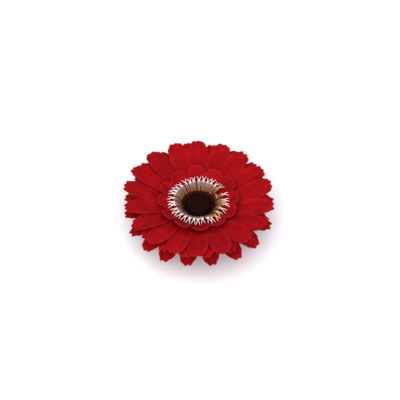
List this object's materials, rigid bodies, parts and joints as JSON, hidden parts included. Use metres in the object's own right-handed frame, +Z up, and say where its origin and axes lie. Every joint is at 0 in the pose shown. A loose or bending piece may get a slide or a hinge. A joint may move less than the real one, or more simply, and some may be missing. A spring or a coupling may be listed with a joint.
{
  "type": "flower hair clip",
  "caption": "Red fabric gerbera flower on a felt disc, glued to a sprung double-prong steel hair clip that opens when its tails are squeezed.",
  "frame": {"origin": "on the surface that the clip stands on, straight under the flower's axis", "axes": "+Z up along the flower's axis; +X towards the clip's gripping tips; +Y across the clip"},
  "size_m": [0.1, 0.0992, 0.0278],
  "materials": {
    "petal_cloth": "matte heat-pressed polyester cloth",
    "stamen_plastic": "translucent moulded polyethylene, golden at the foot and white at the tips",
    "centre_plastic": "near-black moulded polyethylene",
    "calyx_plastic": "green moulded polyethylene",
    "hot_melt_glue": "milky hot-melt glue",
    "felt": "pressed felt",
    "plated_steel": "nickel-plated pressed steel",
    "spring_steel": "drawn spring wire"
  },
  "bodies": {
    "root": {"upper_petals": "petal_cloth", "middle_petals": "petal_cloth", "lower_petals": "petal_cloth", "inner_petals": "petal_cloth", "stamen_crown": "stamen_plastic", "bristle_ring": "centre_plastic", "centre_button": "centre_plastic", "calyx_cup": "calyx_plastic", "calyx_glue": "hot_melt_glue", "felt_disc": "felt", "clip_glue": "hot_melt_glue", "clip_bar": "plated_steel", "hinge_pin": "plated_steel", "torsion_spring": "spring_steel"},
    "fork": {"clip_fork": "plated_steel"}
  },
  "joints": [
    {"name": "clip_hinge", "type": "hinge", "parent": "root", "child": "fork", "pos_m": [-0.009, 0, 0.0041], "axis": [0, 1, 0], "range_deg": [0, 24], "stiffness_Nm_per_rad": 0.12, "springref_deg": -14.9, "deforming": ["torsion_spring"]}
  ]
}
